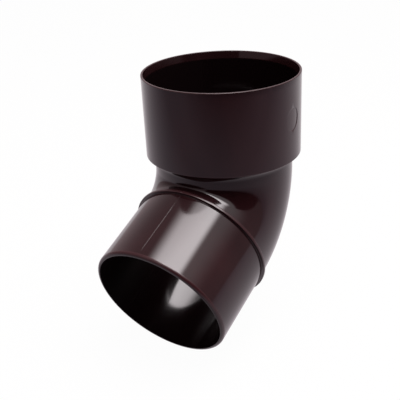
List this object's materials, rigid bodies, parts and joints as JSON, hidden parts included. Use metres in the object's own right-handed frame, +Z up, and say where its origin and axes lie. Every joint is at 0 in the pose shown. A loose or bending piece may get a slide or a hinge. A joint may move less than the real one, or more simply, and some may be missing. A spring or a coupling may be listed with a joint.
{
  "type": "downspout elbow",
  "caption": "Moulded plastic elbow for a round downspout: a plain socket on top, a tight bend, a stop collar and a plain spigot that leads the water on at a slant.",
  "frame": {"origin": "centre of the pipe seat inside the socket, on the socket's axis", "axes": "+Z up the socket's axis and out of its mouth; the spigot swings down towards -Y, and X = 0 is the plane of symmetry"},
  "size_m": [0.0842, 0.1239, 0.1397],
  "materials": {
    "brown_pvc": "glossy moulded dark brown PVC, coloured through"
  },
  "bodies": {
    "root": {"downspout_elbow": "brown_pvc"}
  },
  "joints": []
}
